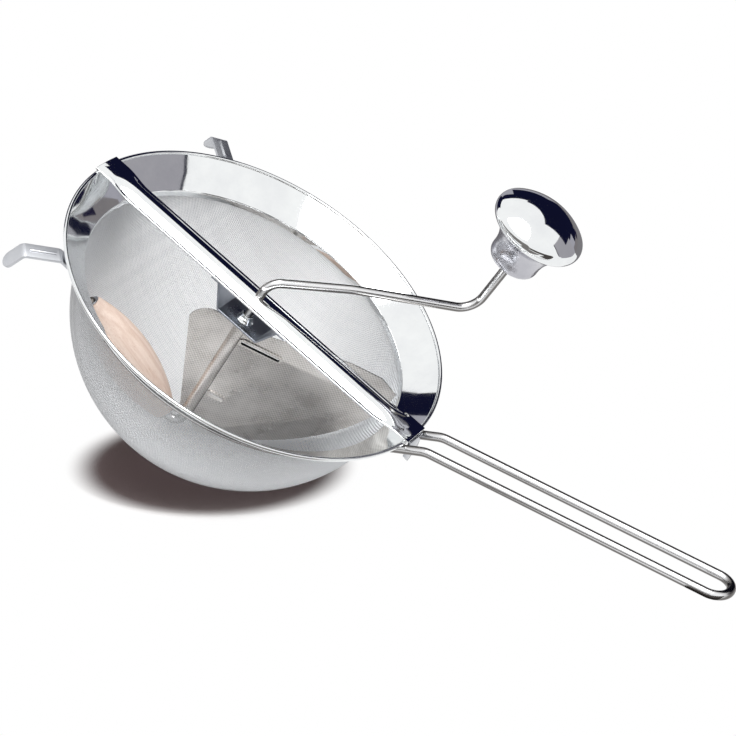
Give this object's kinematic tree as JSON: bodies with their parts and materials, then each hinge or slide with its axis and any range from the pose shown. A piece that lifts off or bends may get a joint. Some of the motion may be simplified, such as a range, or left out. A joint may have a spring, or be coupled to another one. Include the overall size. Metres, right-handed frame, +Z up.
{
  "type": "hand cranked tomato strainer",
  "caption": "Round-bottomed mesh strainer with a flared rim, wire handle and rim hooks; a bent wire crank with a knob turns a scraper blade and a wooden roller in the bowl.",
  "frame": {"origin": "on the table under the middle of the bounding box, in the pose in which the strainer rests on a table: on the side of its bowl and on the tip of its handle", "axes": "+Z up from the table; +X along the handle, away from the bowl; the crank's axis leans towards +X"},
  "size_m": [0.3732, 0.2212, 0.1631],
  "materials": {
    "polished_sheet": "mirror polished",
    "polished_wire": "polished",
    "plain_sheet": "bright plated",
    "plain_wire": "satin",
    "woven_mesh": "woven wire, satin",
    "blade_sheet": "satin rolled sheet",
    "pale_wood": "turned, unvarnished beech"
  },
  "bodies": {
    "strainer": {"mesh_bowl": "woven_mesh", "mesh_edge_ring": "plain_wire", "rim_band": "polished_sheet", "cross_bar": "polished_sheet", "shaft_guide": "plain_sheet", "guide_bush": "plain_sheet", "handle_loop": "polished_wire", "handle_bracket": "plain_sheet", "hook_left": "plain_sheet", "hook_right": "plain_sheet"},
    "crank": {"crank_wire": "polished_wire", "thrust_washer": "plain_sheet", "scraper_blade": "blade_sheet", "roller_washer_inner": "plain_sheet", "roller_washer_outer": "plain_sheet", "axle_cap": "plain_sheet", "knob_stop_ring": "plain_wire", "knob_retainer": "plain_sheet"},
    "roller": {"wooden_roller": "pale_wood"},
    "knob": {"knob_skirt": "polished_sheet", "knob_cap": "polished_sheet", "knob_bush": "plain_sheet", "knob_inner_plate": "plain_sheet"}
  },
  "joints": [
    {"name": "crank_turn", "type": "hinge", "parent": "strainer", "child": "crank", "pos_m": [-0.08709, 0, 0.10257], "axis": [0.5271, 0, 0.8498], "continuous": true},
    {"name": "roller_spin", "type": "hinge", "parent": "crank", "child": "roller", "pos_m": [-0.16101, -0.01435, 0.05821], "axis": [-0.3979, -0.29, 0.8704], "continuous": true},
    {"name": "knob_spin", "type": "hinge", "parent": "crank", "child": "knob", "pos_m": [0.01865, 0.08373, 0.11418], "axis": [0.5588, 0.0382, 0.8284], "continuous": true}
  ],
  "couplings": [
    {"joint": "roller_spin", "follows": "crank_turn", "ratio": -3.5712}
  ]
}
